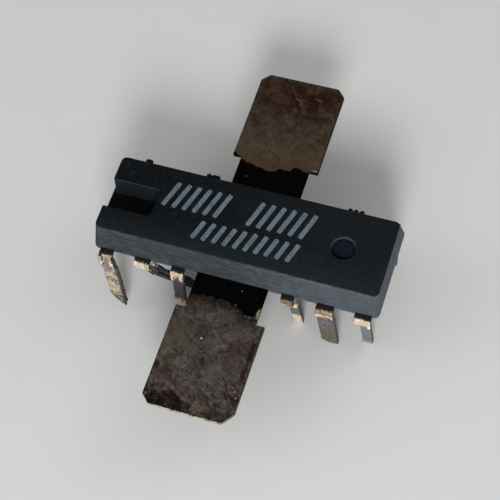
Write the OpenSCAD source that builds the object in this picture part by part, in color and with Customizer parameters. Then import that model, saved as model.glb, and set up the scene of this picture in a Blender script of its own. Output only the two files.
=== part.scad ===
// Dual in-line integrated circuit package with two cooling fins and staggered leads.
// The leads stand on Z = 0, X runs along the body away from the notch, and the fins point along Y.

/* [Moulded body] */
// Length of the body along its parting line
body_l = 19.8; // [19.4:0.1:21]
// Width of the body along its parting line
body_w = 6.75; // [6.2:0.05:7.4]
// Height of the body above the middle of the lead frame
upper_h = 2.03; // [1.8:0.01:2.4]
// Height of the body below the middle of the lead frame
lower_h = 1.3; // [1:0.05:2]
// How far each end wall draws in from the parting line to the face
end_draft = 0.2; // [0.1:0.05:0.5]
// How far each side wall draws in from the parting line to the face
side_draft = 0.61; // [0.3:0.01:0.8]
// Radius of the four upright corners at the parting line
corner_r = 0.35; // [0.15:0.05:0.5]

/* [Notch and pin mark] */
// Width of the orientation notch
notch_w = 2.1; // [1.4:0.05:2.6]
// Length of the notch along its straight sides
notch_l = 3.4; // [2:0.1:4]
// How far the rounded inner end of the notch swells past its sides
notch_bulge = 0.22; // [0.1:0.02:0.5]
// Depth of the notch below the top face
notch_depth = 1.2; // [0.6:0.05:1.35]
// Distance that the notch lies to the front of the centre line
notch_shift = 0.1; // [0:0.05:0.3]
// Diameter of the round ejector mark in the top face
mark_d = 1.66; // [1:0.02:2]
// Depth of the ejector mark
mark_depth = 0.3; // [0.1:0.05:0.5]
// Distance from the plain end of the body to the centre of the ejector mark
mark_end = 3.27; // [2.4:0.01:4]

/* [Lead frame] */
// Thickness of the stamped metal
metal_t = 0.3; // [0.25:0.01:0.4]
// Distance between neighbouring lead positions
pitch = 2.54; // [2.5:0.01:2.6]
// Width of the lead fingers inside the body
finger_w = 0.5; // [0.4:0.05:0.6]
// Gap between neighbouring pieces of metal inside the body
finger_gap = 0.3; // [0.2:0.05:0.35]

/* [Legs] */
// Height of the body's underside above the surface that the leads stand on
stand_h = 3.3; // [2:0.1:4]
// Inside radius of the bend at the top of each leg
bend_r = 0.12; // [0.1:0.02:0.3]
// Straight stub between the body and the bend on the outer row
outer_stub = 0.1; // [0.06:0.02:0.6]
// Straight stub between the body and the bend on the inner row
inner_stub = 0.04; // [0.02:0.02:0.3]
// Length of the full-width shoulder below each bend
shoulder_h = 0.45; // [0.3:0.05:0.8]
// Angle at which the inner row leans in under the body
inner_lean = 8.5; // [4:0.5:12]
// Length of leg, below its shoulder, over which a twisted leg turns
twist_l = 0.7; // [0.4:0.1:1.2]

/* [Cooling fins] */
// Width of the copper strip where it passes through the body
neck_w = 4.88; // [4.4:0.02:5.2]
// Length of the bare neck between the body and each fin plate
neck_l = 2.56; // [2:0.02:3.4]
// Width of each fin plate
plate_w = 6.1; // [5.8:0.05:6.8]
// Length of each fin plate along Y
plate_l = 7; // [5:0.1:9]
// Size of the small corner cuts at the ends of the plates
corner_cut = 0.55; // [0.3:0.05:0.8]
// Size of the larger corner cut on the front plate
wide_cut = 0.85; // [0.4:0.05:1.2]

/* [Die and wires] */
// Length of the silicon die along X
die_l = 2.4; // [1.8:0.1:3]
// Width of the silicon die along Y
die_w = 1.9; // [1.8:0.1:2.6]
// Thickness of the silicon die
die_t = 0.28; // [0.2:0.02:0.4]
// Thickness of the solder under the die
solder_t = 0.04; // [0.03:0.01:0.1]
// How far the solder spreads past the die on each side
solder_rim = 0.1; // [0.05:0.05:0.2]
// Diameter of a bond wire
wire_d = 0.06; // [0.05:0.01:0.1]
// Radius of the two bends in a bond wire
wire_bend = 0.3; // [0.25:0.05:0.4]
// Distance from the edge of the die to the middle of its bond pads
pad_inset = 0.15; // [0.1:0.05:0.25]
// Distance between neighbouring bond pads
pad_pitch = 0.28; // [0.2:0.02:0.29]
// Distance from the tip of a finger to the wire that lands on it
landing = 0.25; // [0.15:0.05:0.4]

/* [Hidden] */
$fn = 64;
eps = 0.01;
mid_z = stand_h + lower_h;
top_z = mid_z + upper_h;
strip_z = mid_z - metal_t / 2;
strip_top = mid_z + metal_t / 2;
bend_z = strip_z - bend_r;
die_z = strip_top + solder_t;
die_top = die_z + die_t;
finger_end = neck_w / 2 + finger_gap;
lane_pitch = finger_w + finger_gap;
plate_start = body_w / 2 + neck_l;
plate_end = plate_start + plate_l;

// Lead positions along a side in pitches from the middle: the fin takes the two central ones
STEPS = [-3.5, -2.5, -1.5, 1.5, 2.5, 3.5];
// Which of the six positions belong to the inner row
INNER = [false, true, false, true, false, true];
// Width of each lead where it leaves the body, and of its leg below the shoulder
EXIT_W = [0.95, 1.15, 0.95, 0.85, 1.2, 1.15];
LEG_W = [0.95, 0.7, 0.8, 0.68, 1.18, 0.7];
// How far the middle of each leg lies from the middle of its shoulder, towards the plain end
LEG_SHIFT = [0.12, 0.3, 0.03, 0.5, 0.1, 0.22];
// How far each front leg has been bent out, swung along the body, and twisted about its own length
FRONT_OUT = [21, -9, 1, -2, 0, 0];
FRONT_SWING = [12, 44, -4, -2, 3, 0];
FRONT_TWIST = [0, 55, 0, 0, 0, 0];
// Width and length of the slanted cut on the notch side of each front tip
CUT_W = [0.9, 0.2, 0, 0.2, 0.5, 0];
CUT_L = [1.1, 0.3, 0, 0.3, 0.4, 0];

// Outline of a drafted section, widest at the parting line
module drafted(width, draft) {
    polygon([
        [-width / 2 + draft, mid_z - lower_h],
        [width / 2 - draft, mid_z - lower_h],
        [width / 2, mid_z],
        [width / 2 - draft, top_z],
        [-width / 2 + draft, top_z],
        [-width / 2, mid_z]]);
}

// Plan of the body with its rounded corners
module body_plan() {
    square([body_l - 2 * corner_r, body_w], center = true);
    square([body_l, body_w - 2 * corner_r], center = true);
    for (x = [-1, 1], y = [-1, 1])
        translate([x * (body_l / 2 - corner_r), y * (body_w / 2 - corner_r)]) circle(corner_r);
}

module body_blank() {
    intersection() {
        rotate([90, 0, 0])
            linear_extrude(body_w, center = true) drafted(body_l, end_draft);
        rotate([90, 0, 90])
            linear_extrude(body_l, center = true) drafted(body_w, side_draft);
        translate([0, 0, stand_h]) linear_extrude(upper_h + lower_h) body_plan();
    }
}

// Notch open at the end wall and the top, its inner end an arc
module notch() {
    notch_r = (pow(notch_w / 2, 2) + pow(notch_bulge, 2)) / (2 * notch_bulge);
    side_end = -body_l / 2 + notch_l;
    translate([0, -notch_shift, top_z - notch_depth])
        linear_extrude(notch_depth + eps) {
            translate([-body_l / 2 - eps, -notch_w / 2]) square([notch_l + eps, notch_w]);
            intersection() {
                translate([side_end + notch_bulge - notch_r, 0]) circle(notch_r);
                translate([side_end - eps, -notch_w / 2])
                    square([notch_bulge + 2 * eps, notch_w]);
            }
        }
}

module ejector_mark() {
    translate([body_l / 2 - mark_end, 0, top_z - mark_depth])
        cylinder(h = mark_depth + eps, d = mark_d);
}

// One end of the copper strip: its neck, shoulders and fin plate, with two cut outer corners
function fin_points(way, first_cut, second_cut) = [
    for (point = [
        [neck_w / 2, plate_start],
        [plate_w / 2, plate_start],
        [plate_w / 2, plate_end - first_cut],
        [plate_w / 2 - first_cut, plate_end],
        [-plate_w / 2 + second_cut, plate_end],
        [-plate_w / 2, plate_end - second_cut],
        [-plate_w / 2, plate_start],
        [-neck_w / 2, plate_start]]) way * point];

// Both fins and the strip between them, stamped as one piece that carries the die
module heat_fin_frame() {
    back = fin_points(1, corner_cut, corner_cut);
    front = fin_points(-1, corner_cut, wide_cut);
    color([0.36, 0.27, 0.22])
        translate([0, 0, strip_z]) linear_extrude(metal_t) polygon(concat(back, front));
}

// Position of a lead: k runs 0 to 5 from the notched end, and the lane counts from the centre line
function lane(k) = (k < 3 ? k : 5 - k);
function lead_x(k) = STEPS[k] * pitch;
function lane_y(k) = (lane(k) + 0.5) * lane_pitch;
function stub_l(k) = INNER[k] ? inner_stub : outer_stub;
function row_lean(k) = INNER[k] ? inner_lean : 0;
// Length of a leg that stands with the lean of its row, measured from the end of the bend
function leg_l(k) = (bend_z - bend_r * sin(row_lean(k))) / cos(row_lean(k));

// Flat finger of a front lead, from its tip beside the strip to the start of its bend
module finger(k) {
    side = sign(STEPS[k]);
    width = EXIT_W[k];
    run = abs(lead_x(k)) - finger_end + width / 2;
    translate([0, 0, strip_z]) linear_extrude(metal_t) {
        translate([lead_x(k) - width / 2, -body_w / 2 - stub_l(k)])
            square([width, body_w / 2 + stub_l(k) - lane_y(k) + finger_w / 2]);
        translate([side > 0 ? finger_end : -finger_end - run, -lane_y(k) - finger_w / 2])
            square([run, finger_w]);
    }
}

// Shoulder below the bend, with the round root from which the leg goes on
module shoulder_outline(k) {
    translate([-EXIT_W[k] / 2, 0]) square([EXIT_W[k], shoulder_h]);
    translate([LEG_SHIFT[k], shoulder_h]) circle(d = LEG_W[k]);
}

// Leg along Y from its root, from a given start, with a slanted cut on the notch side of its tip
module leg_outline(k, start, cut_w, cut_l) {
    straight = leg_l(k) - shoulder_h;
    polygon([
        [-LEG_W[k] / 2, start],
        [LEG_W[k] / 2, start],
        [LEG_W[k] / 2, straight],
        [-LEG_W[k] / 2 + cut_w, straight],
        [-LEG_W[k] / 2, straight - cut_l]]);
}

// Leg that turns about its own length below the root, and then runs on straight
module twisted_leg(k, twist, cut_w, cut_l) {
    rotate([-90, 0, 0])
        linear_extrude(twist_l, twist = twist, slices = 12)
            square([LEG_W[k], metal_t], center = true);
    rotate([0, twist, 0])
        linear_extrude(metal_t, center = true) leg_outline(k, twist_l - eps, cut_w, cut_l);
}

// Shoulder and leg in their own plane, with Y down from the end of the bend
module leg(k, swing, twist, cut_w, cut_l) {
    linear_extrude(metal_t) shoulder_outline(k);
    translate([LEG_SHIFT[k], shoulder_h, metal_t / 2]) rotate(-swing)
        if (twist == 0)
            linear_extrude(metal_t, center = true) leg_outline(k, 0, cut_w, cut_l);
        else
            twisted_leg(k, twist, cut_w, cut_l);
}

// Bend and leg of a front lead, trimmed at the surface that the package stands on
module bent_leg(k, out, swing, twist, cut_w, cut_l) {
    bend = 90 + row_lean(k) - out;
    intersection() {
        translate([lead_x(k), -body_w / 2 - stub_l(k), bend_z]) rotate([180, -90, 0]) {
            rotate_extrude(angle = bend)
                translate([bend_r, -EXIT_W[k] / 2]) square([metal_t, EXIT_W[k]]);
            rotate(bend) translate([bend_r + metal_t, 0, 0]) rotate([0, -90, 0])
                leg(k, swing, twist, cut_w, cut_l);
        }
        translate([-body_l, -2 * body_w, 0]) cube([2 * body_l, 4 * body_w, top_z]);
    }
}

// Lead of the front row, as it was bent when the package was pulled from its board
module front_lead(k) {
    color([0.72, 0.66, 0.56]) {
        finger(k);
        bent_leg(k, FRONT_OUT[k], FRONT_SWING[k], FRONT_TWIST[k], CUT_W[k], CUT_L[k]);
    }
}

// Lead of the back row, still straight
module back_lead(k) {
    color([0.72, 0.66, 0.56]) mirror([0, 1, 0]) {
        finger(k);
        bent_leg(k, 0, 0, 0, 0, 0);
    }
}

module silicon_die() {
    color([0.45, 0.47, 0.52])
        translate([-die_l / 2, -die_w / 2, die_z]) cube([die_l, die_w, die_t]);
}

module die_attach_solder() {
    color([0.6, 0.6, 0.62])
        translate([-die_l / 2 - solder_rim, -die_w / 2 - solder_rim, strip_top])
            cube([die_l + 2 * solder_rim, die_w + 2 * solder_rim, solder_t]);
}

// Wire in its own plane: up from the pad at the origin, along X, and down to the finger
module wire_loop(span, fall) {
    for (end = [[wire_bend, 90], [span - wire_bend, 0]])
        translate([end[0], 0, 0]) rotate([90, 0, 0]) rotate(end[1])
            rotate_extrude(angle = 90) translate([wire_bend, 0]) circle(d = wire_d);
    translate([wire_bend, 0, wire_bend]) rotate([0, 90, 0])
        cylinder(h = span - 2 * wire_bend, d = wire_d);
    translate([span, 0, -fall]) cylinder(h = fall, d = wire_d);
}

// Bond wire from the die to the finger of front lead k
module bond_wire(k) {
    side = sign(STEPS[k]);
    pad = [side * (die_l / 2 - pad_inset), -(lane(k) + 0.5) * pad_pitch];
    foot = [side * (finger_end + landing), -lane_y(k)];
    step = foot - pad;
    color([0.83, 0.68, 0.3])
        translate([pad[0], pad[1], die_top]) rotate(atan2(step[1], step[0]))
            wire_loop(norm(step), die_top - strip_top);
}

// Bond wire of the back lead that faces front lead k
module back_wire(k) {
    mirror([0, 1, 0]) bond_wire(k);
}

module molded_body() {
    color([0.09, 0.11, 0.12]) difference() {
        body_blank();
        notch();
        ejector_mark();
        heat_fin_frame();
        die_attach_solder();
        silicon_die();
        for (k = [0:5]) {
            finger(k);
            mirror([0, 1, 0]) finger(k);
            bond_wire(k);
            back_wire(k);
        }
    }
}

molded_body();
heat_fin_frame();
silicon_die();
die_attach_solder();
front_lead(0);  // lead_1
front_lead(1);  // lead_2
front_lead(2);  // lead_3
front_lead(3);  // lead_4
front_lead(4);  // lead_5
front_lead(5);  // lead_6
back_lead(5);  // lead_7
back_lead(4);  // lead_8
back_lead(3);  // lead_9
back_lead(2);  // lead_10
back_lead(1);  // lead_11
back_lead(0);  // lead_12
bond_wire(0);  // bond_wire_1
bond_wire(1);  // bond_wire_2
bond_wire(2);  // bond_wire_3
bond_wire(3);  // bond_wire_4
bond_wire(4);  // bond_wire_5
bond_wire(5);  // bond_wire_6
back_wire(5);  // bond_wire_7
back_wire(4);  // bond_wire_8
back_wire(3);  // bond_wire_9
back_wire(2);  // bond_wire_10
back_wire(1);  // bond_wire_11
back_wire(0);  // bond_wire_12
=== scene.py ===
import math
import random

import bmesh
import bpy
from mathutils import Matrix, Vector


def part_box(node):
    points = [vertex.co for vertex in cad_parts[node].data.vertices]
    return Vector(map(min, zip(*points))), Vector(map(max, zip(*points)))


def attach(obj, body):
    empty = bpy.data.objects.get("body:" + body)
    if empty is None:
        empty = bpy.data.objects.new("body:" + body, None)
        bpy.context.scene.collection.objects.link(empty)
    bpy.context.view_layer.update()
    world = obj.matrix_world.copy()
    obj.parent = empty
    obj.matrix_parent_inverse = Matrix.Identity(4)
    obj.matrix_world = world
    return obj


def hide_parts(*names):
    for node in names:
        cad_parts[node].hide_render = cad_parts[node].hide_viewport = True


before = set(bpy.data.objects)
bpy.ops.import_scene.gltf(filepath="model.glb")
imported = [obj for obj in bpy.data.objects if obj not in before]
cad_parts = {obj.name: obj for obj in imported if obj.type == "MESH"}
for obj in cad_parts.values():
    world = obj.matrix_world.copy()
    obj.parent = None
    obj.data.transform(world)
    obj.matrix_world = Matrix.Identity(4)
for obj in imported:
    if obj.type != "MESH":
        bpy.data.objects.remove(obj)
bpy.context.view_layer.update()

bl_info = {
    "name": "Finned Chip",
    "version": (1, 0, 0),
    "blender": (4, 5, 0),
    "location": "View3D > Sidebar > Chip",
    "description": "Dresses a dual in-line chip with cooling fins in epoxy, copper, solder and ink",
    "category": "Object",
}

MM = 0.001
BODY_LOW, BODY_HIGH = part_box("molded_body")
STRIP_LOW, STRIP_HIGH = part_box("heat_fin_frame")
BODY_L = BODY_HIGH.x - BODY_LOW.x
BODY_W = BODY_HIGH.y - BODY_LOW.y
TOP_Z = BODY_HIGH.z
MID_Z = (STRIP_LOW.z + STRIP_HIGH.z) / 2
METAL_T = STRIP_HIGH.z - STRIP_LOW.z
PLATE_W = STRIP_HIGH.x - STRIP_LOW.x
PLATE_END = STRIP_HIGH.y
PITCH = 2.54 * MM
MERGE = 0.001 * MM

# Front leads from the notched end: place in pitches, row, and outward bend in degrees
STEPS = (-3.5, -2.5, -1.5, 1.5, 2.5, 3.5)
INNER = (False, True, False, True, False, True)
BENT_OUT = (21, -9, 1, -2, 0, 0)
ROW = len(STEPS)
LEADS = 2 * ROW
BEND_R = 0.12 * MM
OUTER_STUB = 0.1 * MM
INNER_STUB = 0.04 * MM
INNER_LEAN = 8.5


def tone(red, green, blue):
    """A colour given as it shows on screen, from 0 to 255, as linear values."""
    return tuple(
        c / 255 / 12.92 if c / 255 <= 0.04045 else ((c / 255 + 0.055) / 1.055) ** 2.4
        for c in (red, green, blue)
    )


def length(name, millimetres, description):
    """A length that a user can set, given in millimetres."""
    return bpy.props.FloatProperty(name=name, description=description,
                                   default=millimetres * MM, unit="LENGTH")


def angle(name, degrees, description):
    """An angle that a user can set, given in degrees."""
    return bpy.props.FloatProperty(name=name, description=description,
                                   default=math.radians(degrees), unit="ROTATION")


def colour(name, shown, description):
    """A colour that a user can set, given as it shows on screen."""
    return bpy.props.FloatVectorProperty(name=name, description=description,
                                         default=tone(*shown), subtype="COLOR")


class BodySettings(bpy.types.PropertyGroup):
    side_draft: length("Side draft", 0.61, "How far each long side draws in from the parting line")
    end_draft: length("End draft", 0.2, "How far each end wall draws in from the parting line")
    corner_radius: length("Corner radius", 0.35, "Radius of the four upright corners")
    edge_radius: length("Edge radius", 0.06, "Radius that the mould leaves on every edge")
    notch_width: length("Notch width", 2.1, "Width of the orientation notch")
    notch_length: length("Notch length", 3.4, "Length of the notch along its straight sides")
    notch_bulge: length("Notch bulge", 0.22, "How far its inner end swells past its sides")
    notch_depth: length("Notch depth", 1.2, "Depth of the notch below the top face")
    notch_shift: length("Notch shift", 0.1, "How far it lies in front of the centre line")
    mark_diameter: length("Mark diameter", 1.66, "Diameter of the round ejector mark")
    mark_depth: length("Mark depth", 0.3, "Depth of the ejector mark")
    mark_from_end: length("Mark from end", 3.27, "Distance from the plain end to its centre")
    top_colour: colour("Face colour", (7, 10, 13), "Blue-black of the top and bottom faces")
    # Painted light: the walls take a lighter copy of the epoxy than the faces, as if lit more
    painted_light_wall_colour: colour("Side colour", (50, 55, 58), "Lighter grey of the drafted walls")


class InkSettings(bpy.types.PropertyGroup):
    thickness: length("Ink thickness", 0.012, "How far the ink stands above the face")
    stroke: length("Stroke width", 0.32, "Width of one slanted stroke")
    spacing: length("Stroke spacing", 0.72, "Distance between the middles of two strokes")
    slant: angle("Slant", 18, "How far each stroke leans towards the plain end")
    colour: colour("Ink colour", (97, 111, 121), "Worn pale blue-grey of the ink")


class FinSettings(bpy.types.PropertyGroup):
    neck_width: length("Neck width", 4.88, "Width of the strip between the body and the plates")
    neck_length: length("Neck length", 2.56, "Bare neck between the body and a plate")
    corner_cut: length("Corner cut", 0.55, "Size of the small cuts at the outer corners")
    wide_cut: length("Wide cut", 0.85, "Size of the larger cut on the front plate")
    edge_radius: length("Edge radius", 0.035, "Softened edge of the stamped sheet")
    front_colour: colour("Front colour", (67, 60, 54), "Tarnish of the front plate")
    back_colour: colour("Back colour", (58, 46, 36), "Darker tarnish of the back plate")


class LeadSettings(bpy.types.PropertyGroup):
    voxel: length("Detail", 0.05, "Size of the finest form kept in the solder")
    lumps: length("Lumps", 0.08, "Height of the unevenness of the solder")
    # Painted in part: the black where the leads leave the body stands for scorched flux and for
    # shade under the body
    flux_and_shade_colour: colour("Flux colour", (14, 12, 11), "Burnt flux where the leads leave the body")


class StageSettings(bpy.types.PropertyGroup):
    target: bpy.props.FloatVectorProperty(
        name="Target", description="Point that the camera looks at",
        default=(0.363 * MM, -0.798 * MM, 4.6 * MM), subtype="TRANSLATION")
    azimuth: angle("Azimuth", 27.145, "Turn of the camera from the front towards the plain end")
    elevation: angle("Elevation", 61.952, "Height of the camera above the horizon")
    roll: angle("Roll", -10.267, "Turn of the picture about the line of sight")
    distance: length("Distance", 87.54, "Distance from the camera to its target")
    lens: bpy.props.FloatProperty(
        name="Lens", description="Focal length on a 36 mm sensor, in millimetres",
        default=94.85)
    floor_colour: colour("Floor colour", (205, 205, 204), "Plain pale floor")


# Working in edit mode


def only(*things):
    """Deselects everything, selects these objects and makes the first one active."""
    bpy.ops.object.select_all(action="DESELECT")
    for thing in things:
        thing.select_set(True)
    bpy.context.view_layer.objects.active = things[0]


def enter_edit(obj):
    """Edit mode on this object, with all of its mesh selected."""
    only(obj)
    bpy.ops.object.mode_set(mode="EDIT")
    bpy.ops.mesh.select_mode(type="VERT")
    bpy.ops.mesh.select_all(action="SELECT")


def leave_edit():
    bpy.ops.object.mode_set(mode="OBJECT")


def pick(obj, kind, test):
    """Selects the vertices, edges or faces of the edited mesh that pass the test."""
    bpy.ops.mesh.select_all(action="DESELECT")
    bpy.ops.mesh.select_mode(type=kind)
    edited = bmesh.from_edit_mesh(obj.data)
    parts = {"VERT": edited.verts, "EDGE": edited.edges, "FACE": edited.faces}[kind]
    found = [part for part in parts if test(part)]
    if not found:
        raise RuntimeError(f"nothing to select on {obj.name}")
    for part in found:
        part.select_set(True)
    edited.select_flush_mode()
    bmesh.update_edit_mesh(obj.data)


def near(value, wanted, slack=0.01 * MM):
    return abs(value - wanted) < slack


def rise(edge):
    return abs(edge.verts[0].co.z - edge.verts[1].co.z)


def start_from(primitive, **settings):
    """A new object made by this operator, with its place and size in its mesh."""
    bpy.ops.object.select_all(action="DESELECT")
    primitive(**settings)
    bpy.ops.object.transform_apply(location=True, rotation=True, scale=True)
    return bpy.context.active_object


def add_box(name, low, high):
    """A box between two corners."""
    low, high = Vector(low), Vector(high)
    box = start_from(bpy.ops.mesh.primitive_cube_add, size=1, location=(low + high) / 2,
                     scale=high - low)
    box.name = name
    return box


def join(name, parts):
    """Makes one object of several."""
    only(*parts)
    bpy.ops.object.join()
    joined = bpy.context.active_object
    joined.name = name
    return joined


def resize(obj, factor):
    """Scales a mesh about the origin."""
    only(obj)
    obj.scale = (factor,) * 3
    bpy.ops.object.transform_apply(location=True, rotation=True, scale=True)


def cut_across(obj, place, normal):
    """Adds a loop of edges where a plane crosses the mesh."""
    enter_edit(obj)
    bpy.ops.mesh.bisect(plane_co=place, plane_no=normal)
    leave_edit()


def finish_with(obj, kind, **settings):
    """Adds a modifier with these settings and applies it."""
    only(obj)
    modifier = obj.modifiers.new(kind.title(), kind)
    for setting, value in settings.items():
        setattr(modifier, setting, value)
    bpy.ops.object.modifier_apply(modifier=modifier.name)


def carve(obj, cutter):
    finish_with(obj, "BOOLEAN", operation="DIFFERENCE", solver="EXACT", object=cutter)
    bpy.data.objects.remove(cutter)


def merge(obj, turn=True):
    """Merges doubles, and points every face outwards where they don't already."""
    enter_edit(obj)
    bpy.ops.mesh.remove_doubles(threshold=MERGE)
    if turn:
        bpy.ops.mesh.normals_make_consistent(inside=False)
    leave_edit()


def smooth(obj, up_to=35):
    """Smooth shading over edges that turn by fewer degrees than this."""
    only(obj)
    bpy.ops.object.shade_smooth_by_angle(angle=math.radians(up_to))


def settle(obj, slot, material, *nodes):
    """Gives a finished piece its material, its body and the nodes it stands for; the slot is not
    used.
    """
    obj.data.materials.clear()
    obj.data.materials.append(material)
    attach(obj, "root")
    if nodes:
        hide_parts(*nodes)


# Materials


class Finish:
    """A material being built from layers, whose places and sizes are in millimetres."""

    def __init__(self, name, metallic, specular):
        self.material = bpy.data.materials.new(name)
        self.material.use_nodes = True
        self.tree = self.material.node_tree
        self.shader = self.tree.nodes["Principled BSDF"]
        self.shader.inputs["Metallic"].default_value = metallic
        self.shader.inputs["Specular IOR Level"].default_value = specular
        metres = self.add("ShaderNodeTexCoord").outputs["Object"]
        self.place = self.vector("MULTIPLY", metres, (1 / MM,) * 3).outputs[0]
        axes = self.add("ShaderNodeSeparateXYZ", Vector=self.place)
        self.x, self.y, self.z = axes.outputs
        facing = self.add("ShaderNodeNewGeometry").outputs["Normal"]
        normals = self.add("ShaderNodeSeparateXYZ", Vector=facing)
        self.nx, self.ny, self.nz = normals.outputs

    def add(self, kind, **inputs):
        node = self.tree.nodes.new(kind)
        for name, value in inputs.items():
            self.feed(node.inputs[name.replace("_", " ")], value)
        return node

    def feed(self, socket, value):
        if isinstance(value, bpy.types.NodeSocket):
            self.tree.links.new(value, socket)
        elif socket.type == "RGBA" and len(value) == 3:
            socket.default_value = (*value, 1)
        else:
            socket.default_value = value

    def vector(self, operation, first, second=(0, 0, 0)):
        node = self.add("ShaderNodeVectorMath")
        node.operation = operation
        self.feed(node.inputs[0], first)
        self.feed(node.inputs[1], second)
        return node

    def math(self, operation, first, second=0.0):
        node = self.add("ShaderNodeMath")
        node.operation = operation
        self.feed(node.inputs[0], first)
        self.feed(node.inputs[1], second)
        return node.outputs[0]

    def plus(self, first, second):
        return self.math("ADD", first, second)

    def minus(self, first, second):
        return self.math("SUBTRACT", first, second)

    def away(self, value, centre=0.0):
        """How far a value lies from a centre, to either side."""
        return self.math("ABSOLUTE", self.minus(value, centre))

    def both(self, *masks):
        """Where all these masks meet; a mask may be a plain share."""
        result = masks[0]
        for mask in masks[1:]:
            result = self.math("MULTIPLY", result, mask)
        return result

    def less(self, mask, share, whole=1.0):
        """A mask for all but this share of what another one covers."""
        return self.minus(whole, self.both(mask, share))

    def step(self, value, start, end):
        """Rises smoothly from 0 at start to 1 at end, or falls where end is the lower."""
        low, high = sorted((start, end))
        node = self.add("ShaderNodeMapRange", Value=value, From_Min=low, From_Max=high,
                        To_Min=float(start > end), To_Max=float(start < end))
        node.interpolation_type = "SMOOTHSTEP"
        return node.outputs["Result"]

    def noise(self, size, detail=3.0, rough=0.55, stretch=None, turn=0.0, warp=0.0):
        """Noise whose features have about this size, longer along the axes given in stretch."""
        place = self.place
        if stretch:
            mapping = self.add("ShaderNodeMapping", Vector=place, Scale=stretch,
                               Rotation=(0, 0, math.radians(turn)))
            mapping.vector_type = "TEXTURE"
            place = mapping.outputs["Vector"]
        node = self.add("ShaderNodeTexNoise", Vector=place, Scale=1 / size, Detail=detail,
                        Roughness=rough, Distortion=warp)
        return node.outputs["Fac"]

    def wander(self, noise, reach):
        """A length that strays about zero as the noise does."""
        return self.math("MULTIPLY", self.minus(noise, 0.5), reach)

    def mix(self, amount, first, second):
        node = self.add("ShaderNodeMix")
        node.data_type = "RGBA"
        self.feed(node.inputs["Factor"], amount)
        self.feed(node.inputs[6], first)
        self.feed(node.inputs[7], second)
        return node.outputs[2]

    def level(self, amount, low, high):
        """A number between two others, as a grey."""
        return self.mix(amount, (low,) * 3, (high,) * 3)

    def over(self, under, shade, *masks):
        """A shade laid over another where all the masks meet."""
        return self.mix(self.both(*masks), under, shade)

    def layers(self, under, *rows):
        """Shades laid over another in turn: each has its value, start, end and further masks."""
        for shade, value, start, end, *masks in rows:
            under = self.over(under, shade, self.step(value, start, end), *masks)
        return under

    def paint(self, shade, *masks):
        """Lays a shade over the colour so far, where all the masks meet."""
        self.colour = self.over(self.colour, shade, *masks)

    def coat(self, *rows):
        """Lays such rows of shades over the colour so far."""
        self.colour = self.layers(self.colour, *rows)

    def spots(self, size, share):
        """Scattered round specks of this spacing, larger with a larger share."""
        node = self.add("ShaderNodeTexVoronoi", Vector=self.place, Scale=1 / size)
        return self.step(node.outputs["Distance"], share, share * 0.4)

    def blot(self, centre, radius, soft, stretch=(1, 1, 1)):
        """A soft round patch about a point."""
        offset = self.vector("SUBTRACT", self.place, centre).outputs[0]
        scaled = self.vector("DIVIDE", offset, stretch).outputs[0]
        distance = self.vector("LENGTH", scaled).outputs["Value"]
        return self.step(distance, radius + soft, radius - soft)

    def line(self, points):
        """The y, for each x, of a smooth line through these points, from left to right."""
        xs, ys = zip(*points)
        reach = xs[-1] - xs[0]
        low = min(ys)
        height = max(ys) - low
        along = self.math("DIVIDE", self.minus(self.x, xs[0]), reach)
        node = self.add("ShaderNodeFloatCurve", Value=along)
        curve = node.mapping.curves[0]
        knots = [((x - xs[0]) / reach, (y - low) / height) for x, y in points]
        curve.points[0].location = knots[0]
        curve.points[-1].location = knots[-1]
        for knot in knots[1:-1]:
            curve.points.new(*knot)
        node.mapping.update()
        return self.plus(self.math("MULTIPLY", node.outputs[0], height), low)

    def scratch(self, points, width):
        """A thin mark along such a line, from its first point to its last."""
        start, end = points[0][0], points[-1][0]
        return self.both(self.step(self.away(self.y, self.line(points)), width, width * 0.25),
                         self.step(self.x, start - width, start + width),
                         self.step(self.x, end + width, end - width))

    def done(self, roughness, height=None, depth=0.01 * MM, strength=0.6):
        self.feed(self.shader.inputs["Base Color"], self.colour)
        self.feed(self.shader.inputs["Roughness"], roughness)
        if height is not None:
            bump = self.add("ShaderNodeBump", Height=height, Distance=depth, Strength=strength)
            self.feed(self.shader.inputs["Normal"], bump.outputs["Normal"])
        return self.material


def epoxy_material(body):
    """Moulded epoxy: blue-black faces, walls lighter as painted light, a pale flash at the parting
    line.
    """
    m = Finish("moulded epoxy", metallic=0.0, specular=0.07)
    grain = m.noise(0.1, detail=4)
    patch = m.noise(0.42, detail=4, rough=0.6)
    cloud = m.noise(1.8, detail=3)
    streak = m.noise(0.24, detail=5, rough=0.62, stretch=(4, 4, 1), warp=0.3)
    depth = m.plus(m.minus(TOP_Z / MM, m.z), m.wander(patch, 0.14))
    upright = m.step(m.away(m.nz), 0.86, 0.5)
    # Painted light: upright walls get the lighter wall colour, the faces the darker one
    m.colour = m.mix(m.both(upright, m.step(depth, 0.0, 0.15)),
                     epoxy_face(m, body, grain, patch, cloud),
                     epoxy_wall(m, body, grain, patch, cloud, streak, depth))
    m.coat((tone(98, 105, 109), m.away(m.z, MID_Z / MM), 0.1, 0.04,
            m.step(patch, 0.34, 0.5), 0.6))
    below = m.step(m.z, TOP_Z / MM - 0.02, TOP_Z / MM - 0.06)
    shade_notch(m, body, grain, patch, depth, below)
    shade_mark(m, body, grain, upright, below)
    return m.done(m.level(grain, 0.55, 0.8), m.plus(grain, m.both(streak, upright)),
                  depth=0.012 * MM)


def epoxy_face(m, body, grain, patch, cloud):
    """Blue-black with a fine grain, a little paler along the front, and paler towards the plain end
    as painted light.
    """
    face = m.layers(
        body.top_colour,
        # Painted light: paler towards the plain end
        (tone(19, 24, 28), m.plus(m.x, m.wander(cloud, 6)), -9, 9),
        (tone(32, 38, 42), m.y, -0.5, -3.2, 0.6),
        (tone(20, 26, 30), patch, 0.52, 0.7),
        (tone(34, 42, 47), grain, 0.54, 0.78),
        (tone(4, 7, 10), grain, 0.48, 0.25),
    )
    return m.over(face, tone(62, 70, 74), m.spots(0.8, 0.045))


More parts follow.
